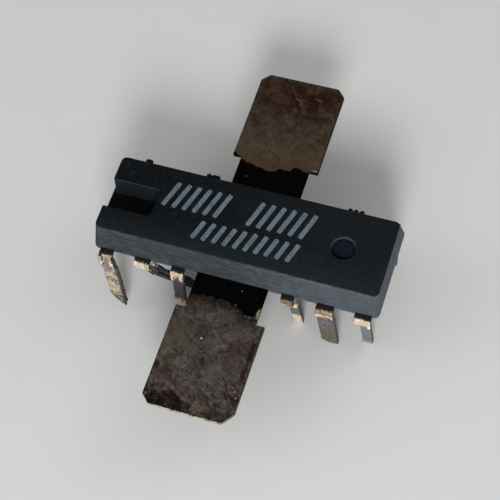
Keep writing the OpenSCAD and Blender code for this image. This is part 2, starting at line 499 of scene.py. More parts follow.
def epoxy_wall(m, body, grain, patch, cloud, streak, depth):
    """Grey, with soft broken streaks along it; as painted light, paler on the plain end's wall and
    towards that end, and darker towards the notched end.
    """
    wall = m.layers(
        body.painted_light_wall_colour,
        (tone(72, 78, 82), streak, 0.42, 0.68),
        (tone(45, 50, 55), streak, 0.47, 0.3),
        (tone(70, 74, 78), patch, 0.5, 0.7),
        (tone(50, 55, 61), patch, 0.48, 0.3),
        (tone(84, 90, 94), grain, 0.54, 0.76),
        (tone(44, 49, 53), grain, 0.46, 0.26),
        (tone(84, 87, 87), depth, 0.45, 0.16, m.step(cloud, 0.42, 0.62), 0.5),
        # Painted shade: darker towards the notched end
        (tone(46, 51, 56), m.x, 4, -2, 0.35),
    )
    # Painted light: the plain end's wall, and the walls towards that end, paler
    paler = m.math("MAXIMUM", m.step(m.nx, 0.5, 0.9), m.both(m.step(m.x, -3, 9), 0.75))
    wall = m.over(wall, tone(92, 99, 106), paler, 0.55)
    return m.over(wall, tone(118, 124, 128), m.spots(0.7, 0.06))


def shade_notch(m, body, grain, patch, depth, below):
    """A pale painted highlight along the notch's edge, and black painted shadow over all but its
    back wall and the floor by it.
    """
    inner_end = (BODY_LOW.x + body.notch_length) / MM
    floor_z = (TOP_Z - body.notch_depth) / MM
    half = body.notch_width / 2 / MM
    shift = body.notch_shift / MM
    lit_y = half - shift - 0.42
    # Painted shadow: black where the near wall shades the floor, up to a line short of the back
    # wall
    shade = m.step(m.plus(m.y, m.wander(patch, 0.3)), lit_y + 0.12, lit_y - 0.05)
    notch = m.layers(
        tone(19, 23, 27),
        (tone(34, 39, 43), grain, 0.4, 0.7),
        # Painted highlight: a pale line along the rim
        (tone(66, 70, 73), depth, 0.14, 0.04),
        (tone(1, 1, 2), depth, 0.3, 0.6, shade),
    )
    m.paint(notch, m.step(m.x, inner_end + 0.35, inner_end + 0.25),
            m.step(m.away(m.y, -shift), half + 0.06, half + 0.03),
            m.step(m.z, floor_z - 0.04, floor_z - 0.01), below)


def shade_mark(m, body, grain, upright, below):
    """The ejector mark: grey wall painted as lit, dark floor, and a black painted shadow in the
    crescent at its front.
    """
    centre = Vector((BODY_HIGH.x - body.mark_from_end, 0, TOP_Z - body.mark_depth)) / MM
    radius = body.mark_diameter / 2 / MM
    deep = (1, 1, 9)
    # Painted shadow: the near rim's shadow, a black crescent on the floor at its front
    outside_shadow = m.blot(centre + Vector((0.03, 0.33, 0)), radius, 0.035, deep)
    floor = m.mix(m.step(grain, 0.4, 0.65), tone(10, 14, 22), tone(22, 28, 38))
    floor = m.mix(outside_shadow, tone(1, 1, 2), floor)
    # Painted light: the mark's wall in a lit grey
    floor = m.over(floor, tone(62, 67, 70), upright)
    m.paint(floor, m.blot(centre, radius + 0.03, 0.02, deep), below)


def ink_material(ink):
    """Thin worn ink, through which the epoxy shows in places."""
    m = Finish("worn marking ink", metallic=0.0, specular=0.1)
    grain = m.noise(0.09, detail=4)
    thin = m.noise(0.3, detail=4, rough=0.6)
    m.colour = ink.colour
    m.coat((tone(88, 102, 111), m.noise(0.9), 0.42, 0.58),
           (tone(58, 69, 76), thin, 0.5, 0.64, 0.5),
           (tone(56, 67, 74), grain, 0.56, 0.68),
           (tone(116, 129, 138), grain, 0.4, 0.28))
    return m.done(m.level(grain, 0.6, 0.8), grain, depth=0.006 * MM)


def copper_material(fins):
    """Tarnished copper: brown plates with stains and scratches, necks black as scorched oxide and
    painted shade.
    """
    m = Finish("tarnished copper", metallic=0.1, specular=0.03)
    front = m.step(m.y, 0.2, -0.2)
    mottle = m.noise(0.8, detail=6, rough=0.66, warp=0.8)
    fine = m.noise(0.2, detail=5, rough=0.66)
    inset = m.minus(PLATE_W / 2 / MM, m.away(m.plus(m.x, m.wander(mottle, 1.0))))
    m.colour = m.mix(front, fins.back_colour, fins.front_colour)
    tarnish_plates(m, front, mottle, fine)
    stain_front_plate(m, front, mottle, fine, inset)
    stain_back_plate(m, mottle, fine)
    scratch_plates(m)
    darken_rims(m, fine, inset)
    neck = burn_and_shade_necks(m, front, mottle, fine)
    show_edges(m, front, fine, neck)
    return m.done(m.level(mottle, 0.55, 0.8), m.plus(m.math("MULTIPLY", mottle, 1.6), fine),
                  depth=0.02 * MM, strength=0.7)


def tarnish_plates(m, front, mottle, fine):
    """Broad patches, mottling, grain and veins, and pale strands towards the front end."""
    cloud = m.noise(2.2, detail=4, rough=0.6)
    strand = m.noise(1.1, detail=4, rough=0.55, warp=1.2)
    fibre = m.noise(0.3, detail=5, rough=0.62, stretch=(1, 4, 1), turn=51, warp=0.7)
    blotches = m.noise(1.5, detail=5, rough=0.6, warp=0.5)
    dark = m.mix(front, tone(36, 25, 19), tone(31, 25, 24))
    light = m.mix(front, tone(80, 67, 55), tone(94, 85, 80))
    lower = m.plus(m.step(m.y, -8.5, -11), 0.2)
    streaked = m.step(m.minus(m.x, m.y), 9, 14)
    m.coat(
        (m.mix(front, tone(62, 54, 44), tone(68, 64, 54)), cloud, 0.5, 0.7),
        (m.mix(front, tone(60, 42, 33), tone(64, 53, 49)), cloud, 0.46, 0.3),
        (dark, mottle, 0.49, 0.36, 0.85),
        (light, mottle, 0.54, 0.68, 0.75),
        (light, fine, 0.52, 0.66, 0.4),
        (dark, fine, 0.48, 0.35, 0.5),
        (tone(44, 30, 27), blotches, 0.47, 0.36, front, 0.5),
        (tone(88, 84, 80), blotches, 0.54, 0.64, front, 0.4),
        (light, m.away(strand, 0.5), 0.05, 0.01, lower, m.step(fine, 0.4, 0.55), 0.6),
        (dark, m.away(mottle, 0.47), 0.016, 0.003, 0.75),
        (light, fibre, 0.53, 0.68, streaked, front, 0.6),
        (tone(30, 20, 21), fibre, 0.48, 0.39, streaked, front, 0.95),
    )


def stain_front_plate(m, front, mottle, fine, inset):
    """Olive tint, jagged stain at the end, dirt along the right side, painted shade along the left
    edge, a burn and pale specks.
    """
    top = STRIP_HIGH.z / MM
    m.paint(tone(72, 68, 50), m.blot((-2.4, -8.0, top), 0.9, 0.7), 0.5)
    end_line = m.line(((-3.1, -11.9), (-2.1, -11.85), (-1.3, -11.6), (-0.5, -11.95), (0.1, -12.1),
                       (0.8, -12.5), (1.3, -12.3), (1.7, -11.8), (2.2, -12.0), (3.1, -11.9)))
    past_end = m.minus(end_line, m.plus(m.y, m.wander(fine, 0.7)))
    m.paint(m.mix(m.step(mottle, 0.46, 0.66), tone(10, 9, 6), tone(32, 22, 21)),
            front, m.step(past_end, -0.1, 0.35), m.less(m.step(m.x, -0.6, 0.6), 0.35, 0.95),
            m.less(m.step(fine, 0.52, 0.68), 0.5))
    m.paint(tone(92, 76, 66), m.blot((0.6, -12.4, top), 0.5, 0.4, (1.4, 1, 1)),
            m.step(fine, 0.42, 0.6), 0.6)
    m.coat((tone(28, 18, 17), inset, 0.6, 0.36, m.step(inset, 0.1, 0.24), m.step(m.x, 1, 2),
            m.step(m.y, -6.6, -7.3), m.less(m.step(m.y, -9.4, -10.4), 0.6),
            m.step(fine, 0.3, 0.5), front, 0.9),
           # Painted shade: a dark line along the left edge
           (tone(26, 22, 24), inset, 0.16, 0.05, m.step(m.x, -1, -2), m.step(m.y, -7.5, -9),
            front, 0.8))
    m.paint(tone(36, 20, 18), m.blot((-2.85, -10.26, top), 0.22, 0.12, (1, 1.4, 1)), 0.85)
    m.paint(tone(124, 96, 72), m.blot((-2.82, -12.25, top), 0.2, 0.12),
            m.step(fine, 0.38, 0.55), 0.8)
    for x, y, radius, shade in (
        (-0.64, -7.8, 0.055, tone(196, 188, 172)),
        (-0.11, -6.34, 0.04, tone(112, 106, 98)),
        (2.6, -10.7, 0.05, tone(132, 128, 104)),
        (2.78, -11.1, 0.05, tone(132, 128, 104)),
    ):
        m.paint(shade, m.blot((x, y, top), radius, radius * 0.6))


def stain_back_plate(m, mottle, fine):
    """A dark speck, khaki middle, lighter by the neck, and reddish-brown stain at the end."""
    top = STRIP_HIGH.z / MM
    m.paint(tone(28, 16, 12), m.blot((-2.19, 10.83, top), 0.09, 0.054))
    m.paint(m.mix(m.step(mottle, 0.4, 0.65), tone(52, 45, 36), tone(76, 66, 54)),
            m.blot((-0.1, 7.9, top), 1.5, 1.0), 0.45)
    m.coat((tone(84, 70, 57), m.y, 8.6, 6.8, m.step(m.y, 3, 5), 0.35),
           (m.mix(m.step(mottle, 0.4, 0.6), tone(30, 17, 10), tone(58, 39, 28)),
            m.y, 8.8, 11.8, 0.6))
    m.paint(m.mix(m.step(fine, 0.4, 0.62), tone(26, 13, 8), tone(52, 30, 19)),
            m.blot((0.45, 11.2, top), 1.2, 0.9, (1.2, 1, 1)), m.step(mottle, 0.66, 0.48), 0.95)


def scratch_plates(m):
    """Hairline scratches: black ones in front, brown ones behind and two bright nicks there."""
    black, brown, bright = tone(19, 16, 17), tone(36, 25, 19), tone(104, 82, 66)
    up = m.step(m.nz, 0.0, 0.5)
    for shade, width, share, points in (
        (black, 0.055, 0.85, ((-1.97, -7.4), (-1.76, -7.74), (-1.29, -8.08), (-0.61, -8.4),
                              (0.0, -8.72), (0.41, -9.07), (0.68, -9.6))),
        (black, 0.06, 0.7, ((-2.3, -8.96), (-1.97, -9.02), (-1.56, -9.3), (-1.33, -9.75))),
        (black, 0.055, 0.8, ((-1.28, -10.12), (-0.8, -10.22), (-0.31, -10.5))),
        (black, 0.2, 0.4, ((0.64, -8.2), (0.72, -8.5), (0.8, -8.85))),
        (brown, 0.06, 0.6, ((-1.4, 8.1), (-1.04, 7.23), (-0.28, 6.63), (0.17, 6.39))),
        (brown, 0.05, 0.7, ((0.97, 8.5), (1.2, 8.72), (1.5, 8.87))),
        (bright, 0.07, 0.75, ((-0.22, 11.46), (0.08, 11.34), (0.38, 11.1))),
        (bright, 0.07, 0.7, ((1.17, 11.74), (1.4, 11.68), (1.64, 11.6))),
    ):
        m.paint(shade, m.scratch(points, width), up, share)


def darken_rims(m, fine, inset):
    """A dark outline of painted shade along the plates' edges, and a grey rim inside it on the back
    plate.
    """
    outline = m.math("MINIMUM", inset, m.minus(PLATE_END / MM, m.away(m.y)))
    m.coat((tone(62, 60, 60), outline, 0.34, 0.16, m.step(fine, 0.4, 0.6), m.step(m.y, 4, 6.5),
            0.6),
           # Painted shade: the dark outline
           (tone(22, 19, 20), outline, 0.1, 0.03, 0.7))


def burn_and_shade_necks(m, front, mottle, fine):
    """Blackens the necks up to a ragged line, partly as scorched oxide and partly as painted shade,
    and returns the mask of what is blackened.
    """
    top = STRIP_HIGH.z / MM
    front_line = m.line(((-2.45, -5.05), (-2.04, -5.0), (-1.46, -4.84), (-0.95, -4.81),
                         (-0.65, -4.96), (-0.32, -4.8), (0.24, -4.92), (0.81, -5.1),
                         (1.26, -5.32), (1.63, -5.49), (2.19, -5.46), (2.45, -5.2)))
    back_line = m.line(((-2.6, 5.9), (-2.19, 5.68), (-1.36, 5.47), (-0.7, 5.36), (-0.17, 5.28),
                        (0.27, 5.48), (0.46, 5.67), (0.79, 5.62), (1.1, 5.63), (1.27, 5.89),
                        (1.62, 5.99), (2.1, 5.83), (2.5, 5.91)))
    past = m.math("MINIMUM", m.minus(m.y, front_line), m.minus(back_line, m.y))
    past = m.plus(past, m.wander(m.noise(0.35, detail=4), 0.35))
    # Scorched beyond the front line, rusty along the back one
    m.coat((tone(26, 19, 12), m.plus(past, m.wander(mottle, 1.8)), -1.0, -0.1,
            m.step(fine, 0.68, 0.52), front, 0.9),
           (tone(92, 62, 36), m.away(past, -0.16), 0.2, 0.04, m.step(m.x, 0.4, -0.2),
            m.step(m.x, -2.6, -1.9), m.less(front, 1.0), m.step(fine, 0.4, 0.6), 0.65))
    # Partly painted shade: the necks' black stands for scorched oxide and for shade by the body
    burnt_and_shaded = m.layers(
        tone(2, 2, 3),
        (tone(10, 8, 9), fine, 0.5, 0.75),
        (tone(24, 11, 7), mottle, 0.46, 0.66, m.step(m.y, 3.4, 4.1),
         m.step(m.y, 5.2, 4.5), m.step(m.x, -0.6, 0.4)),
    )
    for x, y in ((0.75, -4.97), (0.85, -3.9), (-1.6, 4.5)):
        burnt_and_shaded = m.over(burnt_and_shaded, tone(112, 114, 118), m.blot((x, y, top), 0.04, 0.03))
    neck = m.step(past, -0.06, 0.06)
    m.paint(burnt_and_shaded, neck)
    # Metal rubbed bare at one corner of each neck
    m.paint(tone(150, 138, 108), m.blot((2.42, -5.2, top), 0.2, 0.09, (0.8, 1.7, 1)),
            m.step(fine, 0.3, 0.5), 0.85)
    m.paint(tone(120, 116, 112), m.blot((2.83, 6.06, top), 0.14, 0.06, (1.6, 0.55, 1)), 0.8)
    return neck


def show_edges(m, front, fine, neck):
    """Stamped edges: mottled cream at the front end, tan at the sides, dull at the back."""
    edge = m.layers(
        tone(108, 97, 80),
        (tone(50, 48, 52), m.y, -10, 0.0),
        (tone(176, 170, 146), m.ny, -0.4, -0.8, front),
        (tone(48, 40, 34), fine, 0.52, 0.42),
    )
    # Black on the necks' edges too, as scorched oxide and painted shade
    edge = m.over(edge, tone(3, 3, 4), neck)
    m.coat((edge, m.away(m.nz), 0.75, 0.35))


def lead_material(name, leads, shades, tip_top, hollow=None, flank=None):
    """Tinned lead: black at the body as scorched flux and painted shade, bright on the bend with a
    painted highlight, painted shade on its sides, mottled solder down to the tip.
    """
    bend, leg, patch, tip = (tone(*shown) for shown in shades)
    m = Finish(name, metallic=0.0, specular=0.3)
    fine = m.noise(0.13, detail=4)
    blotch = m.noise(0.45, detail=4, rough=0.6, warp=0.4)
    height = m.plus(m.z, m.wander(blotch, 1.0))
    ragged = m.plus(m.z, m.wander(fine, 0.25))
    brighter = tuple(min(1.0, c * 1.4) for c in bend)
    duller = tuple(c * 0.4 for c in bend)
    worn = tuple(min(1.0, c * 1.7 + 0.01) for c in leg)
    tinned = m.layers(
        bend,
        (brighter, blotch, 0.5, 0.66),
        (duller, blotch, 0.45, 0.34, 0.7),
        (duller, fine, 0.42, 0.3, 0.5),
        # Painted highlight: a bright line along the bend
        (tone(232, 220, 200), m.away(ragged, 4.15), 0.16, 0.04,
         m.step(blotch, 0.38, 0.48), 0.8),
    )
    shaft = m.layers(
        leg,
        (patch, blotch, 0.56, 0.4),
        (tip, m.plus(height, m.wander(fine, 0.6)), tip_top + 0.3, tip_top - 0.25),
        (worn, fine, 0.52, 0.66, 0.35),
        (tone(52, 46, 46), fine, 0.48, 0.36, 0.5),
        (worn, blotch, 0.6, 0.7, 0.5),
    )
    m.colour = m.mix(m.step(height, 3.7, 3.9), shaft, tinned)
    # Painted shade in the hollow between the bend's solder ridges
    if hollow:
        m.paint(patch, m.blot(hollow, 0.16, 0.07, (1, 3, 2.4)), 0.9)
    # Painted shade: the lead's sides, and the first lead's right flank, darker
    side = m.step(m.away(m.nx), 0.5, 0.75)
    if flank:
        slope, place = flank
        beyond = m.plus(m.x, m.math("MULTIPLY", m.z, slope))
        side = m.math("MAXIMUM", side, m.step(beyond, place - 0.04, place + 0.04))
    m.paint(m.mix(m.step(fine, 0.4, 0.62), tone(30, 31, 37), tone(58, 58, 62)), side, 0.9)
    # Partly painted shade: black where the lead leaves the body, for scorched flux and shade
    burnt_and_shaded = m.step(ragged, 4.58, 4.68)
    m.paint(leads.flux_and_shade_colour, burnt_and_shaded)
    m.feed(m.shader.inputs["Metallic"], m.both(m.less(burnt_and_shaded, 1.0), 0.3))
    rough = m.mix(burnt_and_shaded, m.level(blotch, 0.4, 0.6), (0.95,) * 3)
    return m.done(rough, m.plus(fine, blotch))


def plain_metal(name, base, worn, size, metallic, roughness):
    """Two tones of one finish, mottled at this size, for the sealed pieces."""
    m = Finish(name, metallic=metallic, specular=0.5)
    mottle = m.noise(size, detail=4)
    m.colour = m.mix(m.step(mottle, 0.35, 0.65), tone(*base), tone(*worn))
    return m.done(m.level(mottle, roughness, roughness + 0.15), mottle, depth=0.004 * MM)


# Pieces


class CHIP_OT_epoxy_shell(bpy.types.Operator):
    """Mould the drafted epoxy body with its notch and ejector mark"""
    bl_idname = "chip.epoxy_shell"
    bl_label = "Epoxy Shell"

    # Straight pieces that each half of the notch's inner end is made of
    ARC_PARTS = 6

    def execute(self, context):
        body = context.scene.chip_body
        shell = add_box("epoxy_shell", BODY_LOW, BODY_HIGH)
        cut_across(shell, (0, 0, MID_Z), (0, 0, 1))
        shrink = (1 - 2 * body.end_draft / BODY_L, 1 - 2 * body.side_draft / BODY_W, 1)
        enter_edit(shell)
        for level in (BODY_LOW.z, TOP_Z):
            pick(shell, "VERT", lambda vert: near(vert.co.z, level))
            bpy.ops.transform.resize(value=shrink, center_override=(0, 0, level))
        pick(shell, "EDGE", lambda edge: rise(edge) > MM)
        bpy.ops.mesh.bevel(offset=body.corner_radius, segments=6, affect="EDGES")
        leave_edit()
        carve(shell, self.notch_cutter(body))
        carve(shell, self.mark_cutter(body))
        merge(shell)
        finish_with(shell, "BEVEL", width=body.edge_radius, segments=3, limit_method="ANGLE",
                    angle_limit=math.radians(28), use_clamp_overlap=True)
        smooth(shell)
        settle(shell, "epoxy", epoxy_material(body), "molded_body")
        return {"FINISHED"}

    def notch_cutter(self, body):
        """A box through the end wall, its inner end swollen to an arc."""
        inner_end = BODY_LOW.x + body.notch_length
        half = body.notch_width / 2
        cutter = add_box("notch_cutter",
                         (BODY_LOW.x - MM, -body.notch_shift - half, TOP_Z - body.notch_depth),
                         (inner_end, -body.notch_shift + half, TOP_Z + MM))
        radius = (half ** 2 + body.notch_bulge ** 2) / (2 * body.notch_bulge)
        offsets = [half * part / self.ARC_PARTS
                   for part in range(1 - self.ARC_PARTS, self.ARC_PARTS)]
        for offset in offsets:
            cut_across(cutter, (0, offset - body.notch_shift, 0), (0, 1, 0))
        enter_edit(cutter)
        for offset in offsets:
            pick(cutter, "VERT", lambda vert: near(vert.co.y, offset - body.notch_shift)
                 and near(vert.co.x, inner_end))
            swell = math.sqrt(radius ** 2 - offset ** 2) - radius + body.notch_bulge
            bpy.ops.transform.translate(value=(swell, 0, 0))
        leave_edit()
        return cutter

    def mark_cutter(self, body):
        return start_from(bpy.ops.mesh.primitive_cylinder_add, vertices=64,
                          radius=body.mark_diameter / 2, depth=2 * body.mark_depth,
                          location=(BODY_HIGH.x - body.mark_from_end, 0, TOP_Z))


class CHIP_OT_ink_marks(bpy.types.Operator):
    """Print bands of plain slanted strokes on the top face"""
    bl_idname = "chip.ink_marks"
    bl_label = "Ink Marks"

    # Each band: first and last stroke along X, middle along Y, and height, in millimetres
    BANDS = ((-5.5, -1.6, 0.85, 2.0), (0.4, 4.3, 0.85, 2.0), (-2.9, 4.3, -1.25, 1.45))

    def execute(self, context):
        ink = context.scene.chip_ink
        strokes = []
        for first, last, middle, height in self.BANDS:
            count = int((last - first) * MM / ink.spacing) + 1
            for number in range(count):
                place = first * MM + number * ink.spacing
                strokes.append(self.stroke(ink, place, middle * MM, height * MM))
        marks = join("ink_marks", strokes)
        merge(marks)
        smooth(marks)
        settle(marks, "marking_ink", ink_material(ink))
        return {"FINISHED"}

    def stroke(self, ink, x, y, height):
        """One slanted stroke with rounded corners, sunk a little into the face."""
        sunk = 2 * ink.thickness
        bar = add_box("stroke", (x - ink.stroke / 2, y - height / 2, TOP_Z - sunk),
                      (x + ink.stroke / 2, y + height / 2, TOP_Z + ink.thickness))
        enter_edit(bar)
        pick(bar, "EDGE", lambda edge: rise(edge) > ink.thickness)
        bpy.ops.mesh.bevel(offset=ink.stroke * 0.3, segments=3, affect="EDGES")
        bpy.ops.mesh.select_all(action="SELECT")
        bpy.ops.transform.rotate(value=ink.slant, orient_axis="Z", center_override=(x, y, TOP_Z))
        leave_edit()
        return bar


class CHIP_OT_copper_fins(bpy.types.Operator):
    """Stamp the copper strip with its necks and two cut-cornered plates"""
    bl_idname = "chip.copper_fins"
    bl_label = "Copper Fins"

    def execute(self, context):
        fins = context.scene.chip_fins
        back = self.half(fins, fins.corner_cut)
        front = self.half(fins, fins.wide_cut)
        enter_edit(front)
        bpy.ops.transform.rotate(value=math.pi, orient_axis="Z", center_override=(0, 0, 0))
        leave_edit()
        strip = join("copper_fins", (back, front))
        merge(strip)
        finish_with(strip, "BEVEL", width=fins.edge_radius, segments=2, limit_method="ANGLE",
                    angle_limit=math.radians(40), use_clamp_overlap=True)
        smooth(strip)
        settle(strip, "fin_copper", copper_material(fins), "heat_fin_frame")
        return {"FINISHED"}

    def half(self, fins, near_cut):
        """The strip's back half: a plate with cut corners and its neck drawn to the middle."""
        start = BODY_W / 2 + fins.neck_length
        plate = add_box("half_strip", (-PLATE_W / 2, start, STRIP_LOW.z),
                        (PLATE_W / 2, PLATE_END, STRIP_HIGH.z))
        for side in (-1, 1):
            cut_across(plate, (side * fins.neck_width / 2, 0, 0), (1, 0, 0))
        enter_edit(plate)
        pick(plate, "FACE", lambda face: near(face.calc_center_median().y, start)
             and near(face.calc_center_median().x, 0))
        bpy.ops.mesh.extrude_region_move(TRANSFORM_OT_translate={"value": (0, -start, 0)})
        bpy.ops.mesh.delete(type="FACE")
        for side, cut in ((1, fins.corner_cut), (-1, near_cut)):
            pick(plate, "EDGE", lambda edge: all(
                near(vert.co.y, PLATE_END) and near(vert.co.x, side * PLATE_W / 2)
                for vert in edge.verts))
            bpy.ops.mesh.bevel(offset=cut, segments=1, affect="EDGES")
        leave_edit()
        return plate


class CHIP_OT_tinned_leads(bpy.types.Operator):
    """Coat the twelve leads with uneven solder"""
    bl_idname = "chip.tinned_leads"
    bl_label = "Tinned Leads"

    SEED = 12
    # How far the first leg goes to the right for each unit down, swung by 12 degrees
    FIRST_SLOPE = 0.2126
    # The right side of the first leg: its place across, at this place down
    FIRST_SIDE = (0.57, 0.45)
    # Degrees by which the second leg swings to the right
    SECOND_SWING = 44
    # Solder beads on each front lead: across, down and into the leg, radius, in millimetres
    BEADS = (
        ((-0.36, 0.0, 0.0, 0.17), (-0.36, 0.25, -0.02, 0.18), (-0.3, 0.55, -0.02, 0.17),
         (-0.24, 0.8, 0.0, 0.14), (0.32, 0.05, 0.0, 0.16), (0.38, 0.3, -0.02, 0.18),
         (0.46, 0.55, 0.0, 0.18), (0.54, 0.8, 0.02, 0.17), (0.6, 1.05, 0.06, 0.15)),
        ((-0.35, 0.3, 0.04, 0.14), (0.0, 0.33, 0.05, 0.13), (0.4, 0.2, 0.04, 0.15),
         (0.5, 0.45, 0.06, 0.12)),
        ((-0.3, 0.1, 0.0, 0.15), (-0.3, 0.42, 0.0, 0.15), (0.3, 0.15, 0.0, 0.15),
         (0.34, 0.5, 0.04, 0.14), (0.45, 0.8, 0.08, 0.11), (-0.1, 3.6, 0.08, 0.2)),
        ((-0.2, 0.1, 0.05, 0.12), (0.3, 0.05, 0.02, 0.14), (0.5, 0.35, 0.03, 0.14),
         (0.45, 3.4, 0.1, 0.17)),
        ((-0.45, 0.32, 0.04, 0.12), (-0.1, 0.36, 0.05, 0.11), (0.25, 0.33, 0.04, 0.12),
         (0.52, 0.2, 0.04, 0.14), (0.6, 0.5, 0.08, 0.12)),
        ((-0.4, 0.3, 0.05, 0.12), (0.1, 0.34, 0.06, 0.11), (0.5, 0.24, 0.0, 0.18)),
    )
    # Tones down each front lead: bend, leg, patches and tip, and how high the tip's tone reaches
    TONES = (
        ((176, 160, 138), (184, 168, 146), (118, 108, 106), (72, 78, 64), 1.45),
        ((205, 192, 168), (58, 62, 70), (38, 40, 46), (44, 35, 30), 2.8),
        ((190, 172, 148), (66, 68, 76), (70, 62, 58), (222, 196, 180), 0.9),
        ((140, 116, 84), (112, 114, 116), (92, 94, 98), (236, 220, 202), 2.2),
        ((150, 128, 104), (112, 104, 106), (92, 84, 90), (98, 94, 74), 2.4),
        ((208, 184, 162), (104, 116, 124), (122, 130, 134), (150, 156, 158), 0.4),
    )
    BACK_TONES = ((120, 110, 98), (122, 114, 102), (96, 92, 90), (110, 104, 96), 0.5)
    # Hollows in the solder of the bends, painted darker as shade: place in the row from 0, places
    # across and down
    HOLLOWS = {0: (0.02, 0.4), 2: (0.05, 0.4)}
    # Lumps on the back bends, black with flux and painted shade: place in the row from 0, height
    # above the leg, places across
    BACK_LUMPS = {0: (0.3, (0.3, 0.48)), 2: (0.3, (-0.3, 0.1, 0.35)), 4: (0.2, (-0.4, 0.0, 0.4))}
    BACK_BEADS = 6

    def execute(self, context):
        leads = context.scene.chip_leads
        chance = random.Random(self.SEED)
        for k in range(ROW):
            out = BENT_OUT[k]
            beads = list(self.BEADS[k])
            hollow = None
            flank = None
            if k in self.HOLLOWS:
                hollow = self.on_leg(k, out, *self.HOLLOWS[k]) / MM
            if k == 0:
                beads += self.run_of_solder(chance)
                flank = self.flank_of_first(out)
            if k == 1:
                beads += self.solder_behind_second()
            self.lead(leads, k + 1, self.places(k, out, beads), self.TONES[k], hollow, flank)
            beads = [(chance.uniform(-0.35, 0.35), chance.uniform(0, 0.9),
                      chance.uniform(0, 0.08), chance.uniform(0.1, 0.17))
                     for _ in range(self.BACK_BEADS)]
            height, lumps = self.BACK_LUMPS.get(k, (0, ()))
            beads += [(across, -height, 0.02, 0.19) for across in lumps]
            self.lead(leads, LEADS - k, self.places(k, 0, beads, mirrored=True), self.BACK_TONES)
        return {"FINISHED"}

    def run_of_solder(self, chance):
        """Beads down the right side of the first lead, which swings out that way."""
        return [(0.6 + self.FIRST_SLOPE * (down - 0.45), down, 0.14, chance.uniform(0.16, 0.2))
                for down in (0.9 + 0.25 * number for number in range(12))]

    def solder_behind_second(self):
        """Solder between the body and the second leg, thinning out down the leg as it swings."""
        swing = math.radians(self.SECOND_SWING)
        return [(0.42 + along * math.sin(swing), 0.3 + along * math.cos(swing),
                 0.5 - 0.13 * along, 0.2 - 0.04 * along)
                for along in (0.3 + 0.2 * number for number in range(8))]

    def flank_of_first(self, out):
        """The line between the first lead's front and its right side, as slope and place."""
        across, down = self.FIRST_SIDE
        high = self.on_leg(0, out, across, down)
        low = self.on_leg(0, out, across + self.FIRST_SLOPE, down + 1)
        slope = (low.x - high.x) / (high.z - low.z)
        return slope, (high.x + high.z * slope) / MM

    def places(self, k, out, beads, mirrored=False):
        """The centre and radius of each bead, on the front row or mirrored to the back one."""
        found = []
        for across, down, inward, radius in beads:
            centre = self.on_leg(k, out, across, down, inward)
            if mirrored:
                centre.y *= -1
            found.append((centre, radius * MM))
        return found

    def on_leg(self, k, out, across, down, inward=0.0):
        """A place given in millimetres across, down and into the leg of a lead bent out so far."""
        return self.leg_axes(k, out) @ Vector((across * MM, down * MM, inward * MM))

    def leg_axes(self, k, out):
        """The axes across, down and into the leg of a lead bent out by these degrees."""
        lean = INNER_LEAN if INNER[k] else 0
        stub = INNER_STUB if INNER[k] else OUTER_STUB
        bend = math.radians(90 + lean - out)
        quarter = math.pi / 2
        start = Vector((STEPS[k] * PITCH, -BODY_W / 2 - stub, STRIP_LOW.z - BEND_R))
        return (Matrix.Translation(start)
                @ Matrix.Rotation(-quarter, 4, "Y") @ Matrix.Rotation(math.pi, 4, "X")
                @ Matrix.Rotation(bend, 4, "Z") @ Matrix.Translation((BEND_R + METAL_T, 0, 0))
                @ Matrix.Rotation(-quarter, 4, "Y"))

    def lead(self, leads, number, beads, look, hollow=None, flank=None):
        """Joins a copy of the lead with its beads, and melts them into one skin."""
        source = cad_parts[f"lead_{number}"]
        copy = source.copy()
        copy.data = source.data.copy()
        copy.parent = None
        copy.matrix_world = Matrix.Identity(4)
        bpy.context.scene.collection.objects.link(copy)
        merge(copy, turn=False)
        spheres = [start_from(bpy.ops.mesh.primitive_ico_sphere_add, subdivisions=3,
                              radius=radius, location=place) for place, radius in beads]
        coated = join(f"tinned_lead_{number}", (copy, *spheres))
        melt(coated, leads.voxel, leads.lumps)
        smooth(coated, up_to=80)
        *shades, tip_top = look
        finish = lead_material(f"tinned lead {number}", leads, shades, tip_top, hollow, flank)
        settle(coated, "tinned_lead", finish, f"lead_{number}")


def melt(obj, voxel, lumps):
    """Fuses a mesh into one uneven skin, at a thousand times its size for the voxels' sake."""
    enlarge = 1 / MM
    resize(obj, enlarge)
    finish_with(obj, "REMESH", mode="VOXEL", voxel_size=voxel * enlarge, adaptivity=0.0)
    finish_with(obj, "SMOOTH", factor=0.5, iterations=4)
    clouds = bpy.data.textures.new("solder unevenness", "CLOUDS")
    clouds.noise_scale = 0.6
    clouds.noise_depth = 1
    finish_with(obj, "DISPLACE", texture=clouds, texture_coords="LOCAL",
                strength=lumps * enlarge, mid_level=0.5)
    cut_off_at_floor(obj)
    resize(obj, MM)


def cut_off_at_floor(obj):
    """Cuts a mesh flat where it reaches below the floor, and closes the cut."""
    if min(vert.co.z for vert in obj.data.vertices) >= 0:
        return
    enter_edit(obj)
    bpy.ops.mesh.bisect(plane_co=(0, 0, 0), plane_no=(0, 0, 1), clear_inner=True, use_fill=True)
    bpy.ops.mesh.quads_convert_to_tris()
    leave_edit()


class CHIP_OT_sealed_pieces(bpy.types.Operator):
    """Finish the die, its solder and the bond wires inside the body"""
    bl_idname = "chip.sealed_pieces"
    bl_label = "Sealed Pieces"

    # Each finish: its name, its tone and a worn one, grain in millimetres, metallic and roughness
    FINISHES = (
        ("polished silicon", (92, 98, 116), (120, 112, 132), 0.5, 0.4, 0.15),
        ("die solder", (168, 168, 170), (128, 128, 132), 0.3, 0.8, 0.4),
        ("bond wire gold", (226, 184, 96), (240, 208, 130), 0.1, 1.0, 0.2),
    )

    def execute(self, context):
        silicon, solder, gold = (plain_metal(*finish) for finish in self.FINISHES)
        finishes = {"silicon_die": silicon, "die_attach_solder": solder}
        finishes.update({f"bond_wire_{number}": gold for number in range(1, LEADS + 1)})
        for name, material in finishes.items():
            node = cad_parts[name]
            node.data.materials.clear()
            node.data.materials.append(material)
        return {"FINISHED"}


